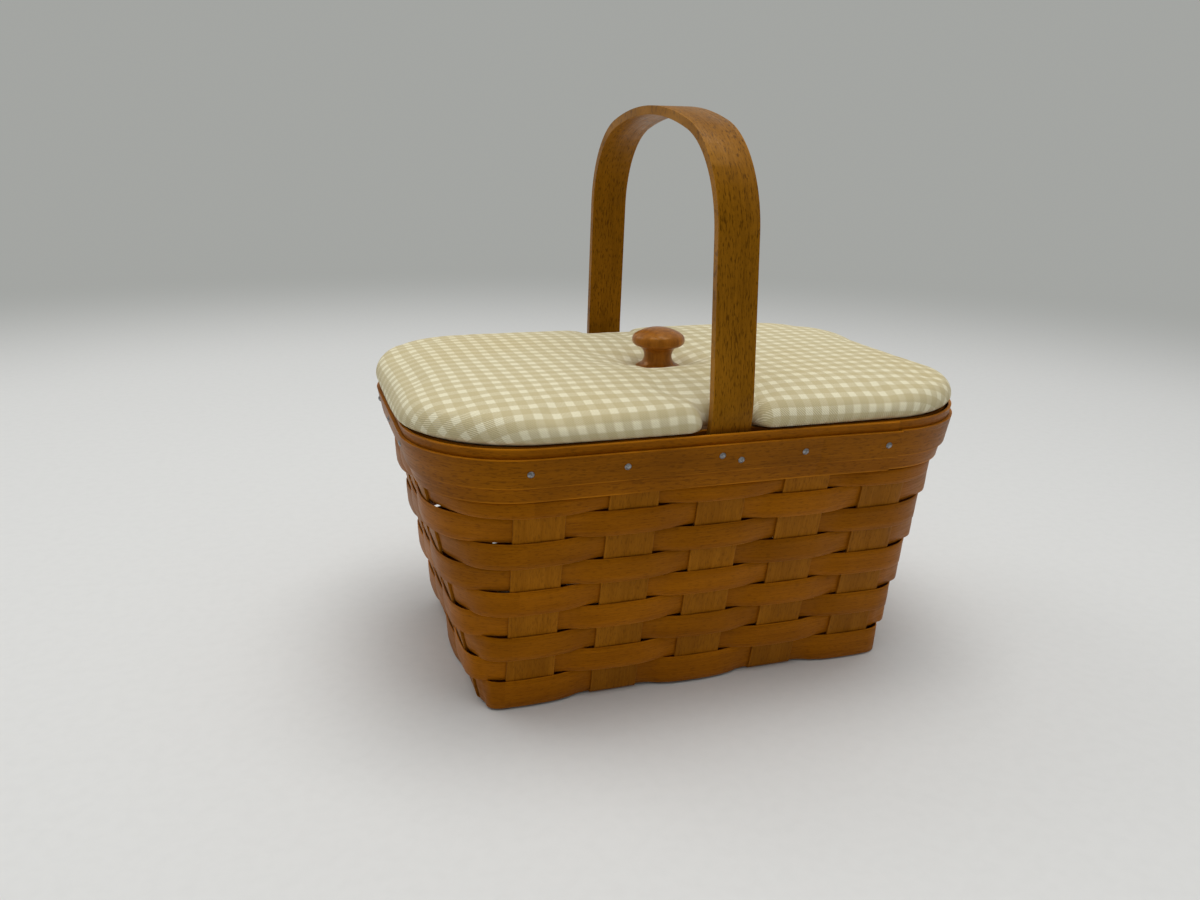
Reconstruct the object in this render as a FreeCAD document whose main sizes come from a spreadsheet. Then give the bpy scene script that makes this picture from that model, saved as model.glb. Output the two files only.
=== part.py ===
import FreeCAD
import Part
import Sketcher
import math
import os

# A rectangular splint basket with a bent handle and a padded lift-off lid.
# X runs along the basket, Y from front to back, Z up; the origin is the middle of the base.
# Lengths are millimetres.
SIZES = (
    ("stake_wide", 23.0),
    ("stake_thick", 1.2),
    ("stake_pitch", 42.0),
    ("end_pitch", 40.5),
    ("stake_short", 0.6),
    ("filler_wide", 9.5),
    ("filler_over", 2.5),
    ("weave_gap", 0.1),
    ("weaver_thick", 0.8),
    ("weaver_high", 12.0),
    ("row_gap", 0.45),
    ("top_row_high", 7.1),
    ("bend_radius", 2.6),
    ("base_radius", 8.75),
    ("wall_slope", 0.2105),
    ("corner_slope", 0.3),
    ("corner_ease", 1.25),
    ("step_run", 6.0),
    ("band_thick", 1.4),
    ("band_high", 25.0),
    ("trim_thick", 1.5),
    ("trim_high", 13.2),
    ("trim_drop", 4.5),
    ("lap_end_back", 2.5),
    ("lap_long", 34.0),
    ("lap_lead", 4.0),
    ("lap_tip", 0.2),
    ("joint_over", 2.0),
    ("joint_gap", 0.4),
    ("handle_wide", 19.0),
    ("handle_thick", 4.0),
    ("handle_side", 0.8),
    ("bulge_run", 16.0),
    ("handle_tail", 60.0),
    ("handle_rise", 135.2),
    ("handle_lean", 3.5),
    ("handle_bend", 60.0),
    ("handle_shoulder", 48.0),
    ("handle_crown", 188.0),
    ("tack_head", 3.2),
    ("tack_head_high", 0.9),
    ("tack_shank", 1.3),
    ("tack_clear", 0.05),
    ("tack_long", 5.0),
    ("tack_aside", 6.0),
    ("handle_tack_long", 7.7),
    ("tack_pair", 4.7),
    ("tack_stagger", 1.4),
    ("lid_gap", 0.3),
    ("lid_end_over", 3.6),
    ("lid_side_over", 2.0),
    ("lid_radius", 55.0),
    ("lid_thick", 14.8),
    ("under_roll", 3.6),
    ("top_roll", 9.4),
    ("crown_run", 45.0),
    ("notch_side", 3.0),
    ("notch_clear", 2.2),
    ("notch_round", 3.0),
    ("notch_crease", 0.5),
    ("cover_thick", 0.7),
    ("pad_gap", 0.05),
    ("board_thick", 4.0),
    ("board_inset", 3.8),
    ("panel_thick", 4.5),
    ("panel_clear", 1.5),
    ("dimple_deep", 6.6),
    ("dimple_run", 18.5),
    ("dimple_flat", 12.0),
    ("knob_base", 22.0),
    ("knob_foot", 1.6),
    ("knob_neck", 14.0),
    ("knob_neck_at", 6.6),
    ("knob_head", 26.7),
    ("knob_head_at", 14.6),
    ("knob_lip_in", 2.2),
    ("knob_lip_low", 2.8),
    ("knob_brow_in", 1.9),
    ("knob_brow_up", 3.2),
    ("knob_high", 21.0),
    ("screw_shank", 4.0),
    ("screw_clear", 0.15),
    ("screw_head", 8.0),
    ("screw_head_high", 2.4),
    ("screw_bite", 12.0),
    ("washer_wide", 13.0),
    ("washer_thick", 1.0),
    ("panel_screw", 2.4),
    ("panel_screw_head", 5.2),
    ("panel_screw_head_high", 1.2),
    ("panel_screw_bite", 3.0),
    ("panel_screw_in", 22.0),
)

CROSS_STAKES = 5
LONG_STAKES = 3
ROWS = 9

doc = FreeCAD.newDocument("splint_basket")
sheet = doc.addObject("Spreadsheet::Sheet", "sizes")
for row, (alias, number) in enumerate(SIZES, start=1):
    sheet.set("A%d" % row, alias)
    sheet.set("B%d" % row, str(number))
    sheet.setAlias("B%d" % row, alias)
doc.recompute()


def size(name):
    return float(sheet.get(name))


def value(formula):
    return float(sheet.evalExpression(formula))


# Sizes that follow from the driving ones, each written once as a formula.
# The sides lean out evenly; the corners' radius grows faster, so the straight stretches shorten upward.
CORE_LEN = f"({CROSS_STAKES // 2} * sizes.stake_pitch + sizes.stake_wide / 2 + sizes.corner_ease)"
CORE_WID = f"({LONG_STAKES // 2} * sizes.end_pitch + sizes.stake_wide / 2 + sizes.corner_ease)"
ROW_START = "(sizes.stake_thick / 2 + sizes.bend_radius + sizes.weave_gap)"
ROW_PITCH = "(sizes.weaver_high + sizes.row_gap)"
BAND_LOW = f"({ROW_START} + {ROWS - 1} * {ROW_PITCH} + sizes.top_row_high + sizes.row_gap)"
RIM_HIGH = f"({BAND_LOW} + sizes.band_high)"
RIM_RADIUS = f"(sizes.base_radius + sizes.corner_slope * {RIM_HIGH})"
RIM_LEN = f"({CORE_LEN} + sizes.base_radius + sizes.wall_slope * {RIM_HIGH})"
RIM_WID = f"({CORE_WID} + sizes.base_radius + sizes.wall_slope * {RIM_HIGH})"
SECANT = "sqrt(1 + sizes.wall_slope ^ 2)"

# Across the wall, measured level from the middle of the stakes.
BAND_FACE = "(sizes.stake_thick / 2 + sizes.weave_gap)"
TRIM_FACE = f"({BAND_FACE} + sizes.band_thick + sizes.weave_gap)"
LEG_OUTER = "(sizes.stake_thick / 2 + sizes.weaver_thick + 2 * sizes.weave_gap)"
LEG_MIDDLE = f"({LEG_OUTER} + sizes.handle_thick / 2 * {SECANT})"
LEG_INNER = f"({LEG_OUTER} + sizes.handle_thick * {SECANT})"

LID_LOW = f"({RIM_HIGH} + sizes.lid_gap)"
LID_LEN = f"({RIM_LEN} + sizes.lid_end_over)"
LID_WID = f"({RIM_WID} + sizes.lid_side_over)"
NOTCH_HALF = "(sizes.handle_wide / 2 + sizes.notch_side)"
NOTCH_AT = f"({RIM_WID} - {LEG_INNER} - sizes.notch_clear)"
BOARD_LOW = f"({LID_LOW} + sizes.cover_thick + sizes.pad_gap)"
PANEL_LOW = f"({BOARD_LOW} - sizes.panel_thick)"
PANEL_IN = f"({BAND_FACE} + sizes.band_thick + sizes.panel_clear)"
PANEL_RADIUS = f"({RIM_RADIUS} - {PANEL_IN})"
PANEL_LEN = f"({RIM_LEN} - {PANEL_IN})"
PANEL_WID = f"({RIM_WID} - {LEG_INNER} - sizes.weave_gap - sizes.band_thick - sizes.panel_clear)"
KNOB_SEAT = f"({LID_LOW} + sizes.lid_thick - sizes.dimple_deep)"

core_len = value(CORE_LEN)
core_wid = value(CORE_WID)
row_start = value(ROW_START)
row_pitch = value(ROW_PITCH)
band_low = value(BAND_LOW)
rim_high = value(RIM_HIGH)
wall_slope = size("wall_slope")
gap = size("weave_gap")
stake_wide = size("stake_wide")
stake_thick = size("stake_thick")
band_thick = size("band_thick")
low_level = stake_thick / 2
high_level = low_level + stake_thick + gap

CROSS_AT = [(i - CROSS_STAKES // 2) * size("stake_pitch") for i in range(CROSS_STAKES)]
LONG_AT = [(j - LONG_STAKES // 2) * size("end_pitch") for j in range(LONG_STAKES)]
FILLER_AT = [(LONG_AT[j] + LONG_AT[j + 1]) / 2 for j in range(LONG_STAKES - 1)]

pieces = []


def keep(piece, name):
    piece.Label = name
    pieces.append(piece)
    return piece


def solid_piece(name, shape):
    piece = doc.addObject("Part::Feature", name)
    piece.Shape = shape
    return keep(piece, name)


def corner_radius(z):
    return size("base_radius") + size("corner_slope") * z


def wall_half(core, z):
    # From the middle of the basket to the middle of the stakes, at a height.
    return core + size("base_radius") + wall_slope * z


# Outlines: corner points, each rounded by its own radius, shifted to the right of the way they run.
# Two arcs whose ends lie within JOIN of each other meet with no straight between them.
JOIN = 1e-6


def unit(a, b):
    length = math.hypot(b[0] - a[0], b[1] - a[1])
    return ((b[0] - a[0]) / length, (b[1] - a[1]) / length)


def rounded_edges(points, radii, shift, closed, place):
    count = len(points)
    joints = []
    for k in range(count):
        first = k == 0 and not closed
        last = k == count - 1 and not closed
        ahead = unit(points[k], points[(k + 1) % count]) if not last else unit(points[k - 1], points[k])
        behind = unit(points[k - 1], points[k]) if not first else ahead
        bend = behind[0] * ahead[1] - behind[1] * ahead[0]
        along = behind[0] * ahead[0] + behind[1] * ahead[1]
        reach = shift / (1 + along)
        corner = (
            points[k][0] + reach * (behind[1] + ahead[1]),
            points[k][1] - reach * (behind[0] + ahead[0]),
        )
        if radii[k] == 0 or first or last:
            joints.append((corner, corner, None))
            continue
        radius = radii[k] + math.copysign(1.0, bend) * shift
        turn = math.atan2(abs(bend), along)
        back = radius * math.tan(turn / 2)
        start = (corner[0] - behind[0] * back, corner[1] - behind[1] * back)
        end = (corner[0] + ahead[0] * back, corner[1] + ahead[1] * back)
        middle = unit(corner, ((start[0] + end[0]) / 2, (start[1] + end[1]) / 2))
        depth = radius / math.cos(turn / 2) - radius
        crown = (corner[0] + middle[0] * depth, corner[1] + middle[1] * depth)
        joints.append((start, end, crown))
    edges = []
    for k in range(count):
        start, end, crown = joints[k]
        if crown is not None:
            edges.append(Part.Arc(place(start), place(crown), place(end)).toShape())
        if k == count - 1 and not closed:
            break
        following = joints[(k + 1) % count][0]
        if math.dist(end, following) > JOIN:
            edges.append(Part.LineSegment(place(end), place(following)).toShape())
    return edges


def level_wire(points, radii, z, shift=0.0):
    return Part.Wire(rounded_edges(points, radii, shift, True, lambda p: FreeCAD.Vector(p[0], p[1], z)))


# The bends of a step take this share of the largest radius that its run has room for.
BEND_SHARE = 0.6


def step_points(start, end, before, after):
    # Two rounded corners that carry a strip from one level to another with no kink.
    rise = abs(after - before)
    run = end - start
    radius = BEND_SHARE * (run * run + rise * rise) / (4 * rise)
    back = 0.0
    for _ in range(30):
        back = radius * math.tan(math.atan2(rise, run - 2 * back) / 2)
    return [(start + back, before), (end - back, after)], [radius, radius]


# Rings round the walls: sides in order front, right, back, left, run anticlockwise from above.
SIDES = (((1, 0), (0, -1)), ((0, 1), (1, 0)), ((-1, 0), (0, 1)), ((0, -1), (-1, 0)))


def side_core(side):
    return core_wid if side % 2 == 0 else core_len


def side_point(side, along, off, z):
    # off is measured level, outward from the middle of the stakes.
    way, outward = SIDES[side % 4]
    out = wall_half(side_core(side), z) + off
    return (way[0] * along + outward[0] * out, way[1] * along + outward[1] * out)


def corner_point(side, off, next_off, z):
    # Where a side's line meets the next side's line, each moved out by its own amount.
    return side_point(side, wall_half(side_core(side + 1), z) + next_off, off, z)


def loop_corners(off, z):
    return [corner_point(side, off, off, z) for side in range(4)], [corner_radius(z) + off] * 4


def ring(low, high, thick, route):
    def wall(shift):
        wires = []
        for z in (low, high):
            points, radii = route(z)
            wires.append(level_wire(points, radii, z, shift))
        return Part.makeLoft(wires, True, True)

    return wall(thick / 2).cut(wall(-thick / 2))


# The base and walls: flat splints woven at right angles, then bent up into the walls.
def woven_floor(crossings, widths, levels):
    points = []
    radii = []
    for k in range(len(crossings) - 1):
        if levels[k] == levels[k + 1]:
            continue
        corners, bends = step_points(
            crossings[k] + widths[k] / 2,
            crossings[k + 1] - widths[k + 1] / 2,
            levels[k],
            levels[k + 1],
        )
        points += corners
        radii += bends
    return points, radii


def splint(points, radii, thick, wide, place, along):
    def edge_place(p):
        return place(p) - along * (wide / 2)

    outer = rounded_edges(points, radii, thick / 2, False, edge_place)
    inner = rounded_edges(points, radii, -thick / 2, False, edge_place)
    caps = [
        Part.LineSegment(outer[-1].lastVertex().Point, inner[-1].lastVertex().Point).toShape(),
        Part.LineSegment(inner[0].firstVertex().Point, outer[0].firstVertex().Point).toShape(),
    ]
    outline = Part.Wire(Part.__sortEdges__(outer + inner + caps))
    return Part.Face(outline).extrude(along * wide)


def stake(core, crossings, widths, levels, place, along):
    # Across the base and a little way up both walls, where it joins the stretches up the walls.
    foot = wall_half(core, low_level)
    head = wall_half(core, 2 * row_start)
    edge = crossings[-1] + widths[-1] / 2
    run = size("step_run")
    stops = [-edge - run] + crossings + [edge + run]
    floor, bends = woven_floor(stops, [0.0] + widths + [0.0], [low_level] + levels + [low_level])
    points = [(-head, 2 * row_start), (-foot, low_level)] + floor + [(foot, low_level), (head, 2 * row_start)]
    radii = [0.0, size("bend_radius")] + bends + [size("bend_radius"), 0.0]
    floor_part = splint(points, radii, stake_thick, stake_wide, place, along)
    middle = place((0.0, 0.0))
    across = FreeCAD.Vector(along.y, along.x, 0)
    slab_from = middle - along * (stake_wide / 2) - across * (2 * core)
    slab_size = along * stake_wide + across * (4 * core)
    above = Part.makeBox(slab_size.x, slab_size.y, rim_high, slab_from + FreeCAD.Vector(0, 0, row_start))
    wall_parts = stake_wall.common(above)
    return floor_part.cut(above).fuse(wall_parts).removeSplitter()


def floor_level(cross, long):
    return high_level if (cross + long) % 2 == 0 else low_level


x_way = FreeCAD.Vector(1, 0, 0)
y_way = FreeCAD.Vector(0, 1, 0)
stake_wall = ring(
    row_start,
    rim_high - size("stake_short"),
    stake_thick * value(SECANT),
    lambda z: loop_corners(0.0, z),
)
floor_at = sorted(LONG_AT + FILLER_AT)
floor_widths = [stake_wide if at in LONG_AT else size("filler_wide") for at in floor_at]
cross_widths = [stake_wide] * CROSS_STAKES

cross_shapes = []
for i, at in enumerate(CROSS_AT):
    levels = [floor_level(i, j) for j in range(len(floor_at))]
    cross_shapes.append(
        stake(core_wid, floor_at, floor_widths, levels, lambda p, x=at: FreeCAD.Vector(x, p[0], p[1]), x_way)
    )

long_shapes = []
filler_shapes = []
for j, at in enumerate(floor_at):
    levels = [floor_level(i, j + 1) for i in range(CROSS_STAKES)]

    def spot(p, y=at):
        return FreeCAD.Vector(p[0], y, p[1])

    if at in LONG_AT:
        long_shapes.append(stake(core_len, CROSS_AT, cross_widths, levels, spot, y_way))
        continue
    end = core_len + size("filler_over")
    floor, bends = woven_floor(CROSS_AT, cross_widths, levels)
    route = [(-end, levels[0])] + floor + [(end, levels[-1])]
    filler_shapes.append(
        splint(route, [0.0] + bends + [0.0], stake_thick, size("filler_wide"), spot, y_way)
    )


# Past the outermost stakes a weaver holds its side of the wall for this turn of the corner.
CORNER_HOLD = math.radians(13)


def corner_change(side, off, z):
    # Three bends that carry a weaver round a corner, from one side of the wall to the other.
    way, outward = SIDES[side]
    radius = corner_radius(z)
    before = radius + off
    after = radius - off
    corner = corner_point(side, -radius, -radius, z)
    turn = math.pi / 2 - 2 * CORNER_HOLD
    reach = (after - before * math.cos(turn)) / math.sin(turn)
    far_reach = (before - after * math.cos(turn)) / math.sin(turn)
    half_hold = math.tan(CORNER_HOLD / 2)
    spots = [
        (before * half_hold, before),
        (
            before * math.sin(CORNER_HOLD) + reach * math.cos(CORNER_HOLD),
            before * math.cos(CORNER_HOLD) - reach * math.sin(CORNER_HOLD),
        ),
        (after, after * half_hold),
    ]
    points = [
        (corner[0] + way[0] * a + outward[0] * o, corner[1] + way[1] * a + outward[1] * o) for a, o in spots
    ]
    return points, [before, min(reach, far_reach) / math.tan(turn / 2), after]


def weaver_route(z, sign):
    # sign is +1 where the row passes outside the outermost stakes of a long side.
    # It then passes inside those of the ends, and changes over on its way round each corner.
    step = stake_thick / 2 + gap + size("weaver_thick") / 2
    points = []
    radii = []
    for side in range(4):
        stations = CROSS_AT if side % 2 == 0 else LONG_AT
        edge_off = sign * step if side % 2 == 0 else -sign * step
        for k in range(len(stations) - 1):
            start = stations[k] + stake_wide / 2
            end = stations[k + 1] - stake_wide / 2
            before = edge_off * (-1) ** k
            corners, bends = step_points(start, end, before, -before)
            points += [side_point(side, along, off, z) for along, off in corners]
            radii += bends
        corners, bends = corner_change(side, edge_off, z)
        points += corners
        radii += bends
    return points, radii


for row in range(1, ROWS + 1):
    low = row_start + (ROWS - row) * row_pitch
    high = low + (size("weaver_high") if row > 1 else size("top_row_high"))
    sign = 1 if row % 2 == 1 else -1
    shape = ring(low, high, size("weaver_thick"), lambda z, s=sign: weaver_route(z, s))
    solid_piece("weaver_row_%d" % row, shape)


def inner_band_route(z):
    # Straight inside the stakes, drawn in round each handle leg.
    plain = -(value(BAND_FACE) + band_thick / 2)
    drawn = -(value(LEG_INNER) + gap + band_thick / 2)
    flat = size("handle_wide") / 2 + size("handle_side")
    points = []
    radii = []
    for side in range(4):
        if side % 2 == 0:
            for start, before, after in ((-flat - size("bulge_run"), plain, drawn), (flat, drawn, plain)):
                corners, bends = step_points(start, start + size("bulge_run"), before, after)
                points += [side_point(side, along, off, z) for along, off in corners]
                radii += bends
        points.append(corner_point(side, plain, plain, z))
        radii.append(corner_radius(z) + plain)
    return points, radii


inner_band_shape = ring(band_low, rim_high, band_thick, inner_band_route)

# The outer band's end rides over its own tapered start; the trim rides over that lap and butts.
lap_high = value(RIM_LEN) - value(RIM_RADIUS) - size("lap_end_back")
lap_low = lap_high - size("lap_long")
lap_lead = lap_low - size("lap_lead")
band_face = value(BAND_FACE)
trim_face = value(TRIM_FACE)
trim_thick = size("trim_thick")
lap_tip = size("lap_tip")


def front_line(spots, z):
    return [side_point(0, along, off, z) for along, off in spots]


def wound_strip(low, high, start, end, ride, face, thick):
    # start and end are the front's spots (along, out) where the strip begins and where it finishes.
    wires = []
    for z in (low, high):
        inside, inside_radii = loop_corners(face, z)
        outside, outside_radii = loop_corners(face + thick, z)
        start_points = front_line(start, z)
        ride_in = front_line(ride, z)
        ride_out = front_line([(along, off + thick) for along, off in reversed(ride)], z)
        end_points = front_line(end, z)
        points = start_points + inside + ride_in + ride_out + outside[::-1] + end_points
        radii = [0.0] * len(start_points) + inside_radii + [0.0] * (2 * len(ride))
        radii += outside_radii + [0.0] * len(end_points)
        wires.append(level_wire(points, radii, z))
    return Part.makeLoft(wires, True, True)


def trim_ride(along):
    # How far out the trim's inner face lies at a place along the front.
    tip = trim_face + lap_tip + gap
    full = trim_face + band_thick + gap
    if along <= lap_lead:
        return trim_face
    if along <= lap_low:
        return trim_face + (tip - trim_face) * (along - lap_lead) / (lap_low - lap_lead)
    if along <= lap_high:
        return tip + (full - tip) * (along - lap_low) / (lap_high - lap_low)
    return full


outer_band_shape = wound_strip(
    band_low,
    rim_high,
    [(lap_low, band_face)],
    [(lap_high, band_face + band_thick), (lap_low, band_face + lap_tip)],
    [(lap_lead, band_face), (lap_low, band_face + lap_tip + gap), (lap_high, band_face + band_thick + gap)],
    band_face,
    band_thick,
)
trim_high = rim_high - size("trim_drop")
trim_low = trim_high - size("trim_high")
trim_end = lap_high + size("joint_over")
trim_start = trim_end + size("joint_gap")
trim_shape = wound_strip(
    trim_low,
    trim_high,
    [(trim_start, trim_face)],
    [(trim_start, trim_face + trim_thick)],
    [(along, trim_ride(along)) for along in (lap_lead, lap_low, lap_high, trim_end)],
    trim_face,
    trim_thick,
)


# Sketch helpers: every corner of a profile is held by two formulas.
def origin_plane(body, role):
    return next(plane for plane in body.Origin.OriginFeatures if plane.Role == role)


def new_sketch(body, name, role):
    sketch = body.newObject("Sketcher::SketchObject", name)
    sketch.AttachmentSupport = (origin_plane(body, role), [""])
    sketch.MapMode = "FlatFace"
    return sketch


def held(sketch, kind, formula, *where):
    index = sketch.addConstraint(Sketcher.Constraint(kind, *where, value(formula)))
    sketch.setExpression("Constraints[%d]" % index, formula)


def pin(sketch, edge, end, across, up):
    held(sketch, "DistanceX", across, -1, 1, edge, end)
    held(sketch, "DistanceY", up, -1, 1, edge, end)


def end_near(sketch, edge, spot):
    return min((1, 2), key=lambda end: (sketch.getPoint(edge, end) - spot).Length)


def closed_profile(sketch, corners, arcs=None):
    # corners are formula pairs; arcs gives, for an edge, its radius formula and its side (+1 left).
    arcs = arcs or {}
    spots = [FreeCAD.Vector(value(across), value(up), 0) for across, up in corners]
    count = len(spots)
    edges = []
    for k in range(count):
        start = spots[k]
        end = spots[(k + 1) % count]
        if k in arcs:
            radius = value(arcs[k][0])
            chord = end - start
            sag = radius - math.sqrt(radius * radius - chord.Length * chord.Length / 4)
            left = FreeCAD.Vector(-chord.y, chord.x, 0).normalize()
            middle = (start + end) * 0.5 + left * (sag * arcs[k][1])
            edges.append(sketch.addGeometry(Part.Arc(start, middle, end)))
        else:
            edges.append(sketch.addGeometry(Part.LineSegment(start, end)))
    for k in range(count):
        before = edges[k - 1]
        here = end_near(sketch, edges[k], spots[k])
        sketch.addConstraint(
            Sketcher.Constraint("Coincident", before, end_near(sketch, before, spots[k]), edges[k], here)
        )
        pin(sketch, edges[k], here, *corners[k])
    for k, (radius, _) in arcs.items():
        held(sketch, "Radius", radius, edges[k])


def circle(sketch, across, up, radius):
    spot = FreeCAD.Vector(value(across), value(up), 0)
    edge = sketch.addGeometry(Part.Circle(spot, FreeCAD.Vector(0, 0, 1), value(radius)))
    pin(sketch, edge, 3, across, up)
    held(sketch, "Radius", radius, edge)


def new_body(name, across="0", along="0", up="0"):
    body = doc.addObject("PartDesign::Body", name)
    body.setExpression("Placement.Base.x", across)
    body.setExpression("Placement.Base.y", along)
    body.setExpression("Placement.Base.z", up)
    return body


def turned(body, corners, arcs=None):
    sketch = new_sketch(body, "profile", "XZ_Plane")
    closed_profile(sketch, corners, arcs)
    turn = body.newObject("PartDesign::Revolution", "turn")
    turn.Profile = sketch
    turn.ReferenceAxis = (sketch, ["V_Axis"])
    turn.Angle = 360
    return body


def padded(body, sketch, thick):
    pad = body.newObject("PartDesign::Pad", "pad")
    pad.Profile = sketch
    pad.setExpression("Length", thick)
    doc.recompute()
    return pad


def round_upright(body, base, radius, at):
    # Rounds the upright edges whose places (across, along) are listed.
    names = []
    for number, edge in enumerate(base.Shape.Edges, start=1):
        spot = edge.CenterOfMass
        upright = edge.BoundBox.ZLength > edge.BoundBox.DiagonalLength * 0.99
        if upright and any(math.hypot(spot.x - x, spot.y - y) < 0.01 for x, y in at):
            names.append("Edge%d" % number)
    fillet = body.newObject("PartDesign::Fillet", "rounds")
    fillet.Base = (base, names)
    fillet.setExpression("Radius", radius)
    doc.recompute()
    return fillet


# The tacks: domed heads on the trim, shanks square to the wall.
def tack_frame(side, along, z, off):
    # A tack past the end of the straight stretch faces the way the corner does there.
    way, outward = SIDES[side]
    radius = corner_radius(z)
    past = max(abs(along) - (wall_half(side_core(side + 1), z) - radius), 0.0)
    turn = math.copysign(math.asin(past / (radius + off)), along)
    sink = (radius + off) * (1 - math.cos(turn))
    across, deep = side_point(side, along, off - sink, z)
    lean = size("corner_slope") + (wall_slope - size("corner_slope")) * (math.cos(turn) + abs(math.sin(turn)))
    facing = FreeCAD.Vector(
        outward[0] * math.cos(turn) + way[0] * math.sin(turn),
        outward[1] * math.cos(turn) + way[1] * math.sin(turn),
        -lean,
    )
    return FreeCAD.Placement(
        FreeCAD.Vector(across, deep, z), FreeCAD.Rotation(FreeCAD.Vector(0, 0, 1), facing)
    )


def tack(name, frame, long):
    body = doc.addObject("PartDesign::Body", name)
    head = "sizes.tack_head / 2"
    shank = "sizes.tack_shank / 2"
    rise = "sizes.tack_head_high"
    dome = f"(({head}) ^ 2 + {rise} ^ 2) / (2 * {rise})"
    corners = [
        ("0", f"-sizes.{long}"),
        (shank, f"-sizes.{long} + sizes.tack_shank"),
        (shank, "0"),
        (head, "0"),
        ("0", rise),
    ]
    turned(body, corners, {3: (dome, -1)})
    body.Placement = frame
    return keep(body, name)


def tack_hole(frame, long):
    over = size("tack_head")
    reach = size(long) + size("tack_clear")
    hole = Part.makeCylinder(
        size("tack_shank") / 2 + size("tack_clear"), reach + over, FreeCAD.Vector(0, 0, -reach)
    )
    hole.Placement = frame
    return hole


tack_high = (trim_low + trim_high) / 2
holes = []
leg_holes = []
for side, face in enumerate(("front", "right", "back", "left")):
    stations = CROSS_AT if side % 2 == 0 else LONG_AT
    spots = []
    for k, at in enumerate(stations):
        if side % 2 == 0 and k == CROSS_STAKES // 2:
            spots.append((at - size("tack_pair"), tack_high + size("tack_stagger"), "handle_tack_long"))
            spots.append((at + size("tack_pair"), tack_high - size("tack_stagger"), "handle_tack_long"))
        else:
            spots.append((at - size("tack_aside"), tack_high, "tack_long"))
    for number, (along, z, long) in enumerate(spots, start=1):
        ride = trim_ride(along + size("tack_head") / 2) if side == 0 else trim_face
        frame = tack_frame(side, along, z, ride + trim_thick)
        tack("tack_%s_%d" % (face, number), frame, long)
        hole = tack_hole(frame, long)
        holes.append(hole)
        if long == "handle_tack_long":
            leg_holes.append(hole)

all_holes = Part.makeCompound(holes)
for i, shape in enumerate(cross_shapes, start=1):
    solid_piece("cross_stake_%d" % i, shape.cut(all_holes))
for j, shape in enumerate(long_shapes, start=1):
    solid_piece("long_stake_%d" % j, shape.cut(all_holes))
for j, shape in enumerate(filler_shapes, start=1):
    solid_piece("base_filler_%d" % j, shape)
solid_piece("inner_band", inner_band_shape.cut(all_holes))
solid_piece("outer_band", outer_band_shape.cut(all_holes))
solid_piece("trim_band", trim_shape.cut(all_holes))

# The handle: one flat strip along a path of straight legs, shoulders and a low crown.
TAIL_LOW = f"({RIM_HIGH} - sizes.handle_tail)"
TAIL_AT = f"({CORE_WID} + sizes.base_radius + sizes.wall_slope * {TAIL_LOW} - {LEG_MIDDLE})"
BEND_AT = f"({RIM_WID} - {LEG_MIDDLE})"
CROWN_CENTRE = f"({RIM_HIGH} + sizes.handle_rise - sizes.handle_thick / 2 - sizes.handle_crown)"


def handle_path():
    # Middle line of the back half, from the tail to the crown's top: joints and arc middles.
    draft = math.atan(wall_slope)
    lean = math.radians(size("handle_lean"))
    bend = size("handle_bend")
    shoulder = size("handle_shoulder")
    crown = size("handle_crown")
    tail = FreeCAD.Vector(value(TAIL_AT), value(TAIL_LOW), 0)
    rim = FreeCAD.Vector(value(BEND_AT), rim_high, 0)
    outward = FreeCAD.Vector(math.cos(lean), math.sin(lean), 0)
    upward = FreeCAD.Vector(-math.sin(lean), math.cos(lean), 0)
    bend_centre = rim - FreeCAD.Vector(math.cos(draft), -math.sin(draft), 0) * bend
    half_turn = (lean - draft) / 2
    bend_middle = bend_centre + FreeCAD.Vector(math.cos(half_turn), math.sin(half_turn), 0) * bend
    leg = bend_centre + outward * bend
    crown_centre = FreeCAD.Vector(0, value(CROWN_CENTRE), 0)
    arm = leg - outward * shoulder - crown_centre
    slide = -arm.dot(upward) + math.sqrt(arm.dot(upward) ** 2 - arm.dot(arm) + (crown - shoulder) ** 2)
    shoulder_centre = crown_centre + arm + upward * slide
    spoke = (shoulder_centre - crown_centre).normalize()
    shoulder_middle = shoulder_centre + (outward + spoke).normalize() * shoulder
    top = shoulder_centre + outward * shoulder
    joint = crown_centre + spoke * crown
    return tail, rim, bend_middle, leg, top, shoulder_middle, joint


def mirrored(spot):
    return FreeCAD.Vector(-spot.x, spot.y, 0)


tail, rim, bend_middle, leg, top, shoulder_middle, joint = handle_path()
apex = FreeCAD.Vector(0, value(CROWN_CENTRE) + size("handle_crown"), 0)
handle_body = doc.addObject("PartDesign::Body", "handle_strip")
path = new_sketch(handle_body, "path", "YZ_Plane")
runs = [
    Part.LineSegment(mirrored(tail), mirrored(rim)),
    Part.Arc(mirrored(rim), mirrored(bend_middle), mirrored(leg)),
    Part.LineSegment(mirrored(leg), mirrored(top)),
    Part.Arc(mirrored(top), mirrored(shoulder_middle), mirrored(joint)),
    Part.Arc(mirrored(joint), apex, joint),
    Part.Arc(joint, shoulder_middle, top),
    Part.LineSegment(top, leg),
    Part.Arc(leg, bend_middle, rim),
    Part.LineSegment(rim, tail),
]
meetings = [mirrored(rim), mirrored(leg), mirrored(top), mirrored(joint), joint, top, leg, rim]
edges = [path.addGeometry(run) for run in runs]
for k, spot in enumerate(meetings):
    before = end_near(path, edges[k], spot)
    after = end_near(path, edges[k + 1], spot)
    path.addConstraint(Sketcher.Constraint("Tangent", edges[k], before, edges[k + 1], after))
for k, radius in ((1, "handle_bend"), (3, "handle_shoulder"), (4, "handle_crown"), (5, "handle_shoulder")):
    held(path, "Radius", "sizes." + radius, edges[k])
held(path, "Radius", "sizes.handle_bend", edges[7])
pin(path, edges[4], 3, "0", CROWN_CENTRE)
pin(path, edges[0], 1, f"-{TAIL_AT}", TAIL_LOW)
pin(path, edges[0], 2, f"-{BEND_AT}", RIM_HIGH)
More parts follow.
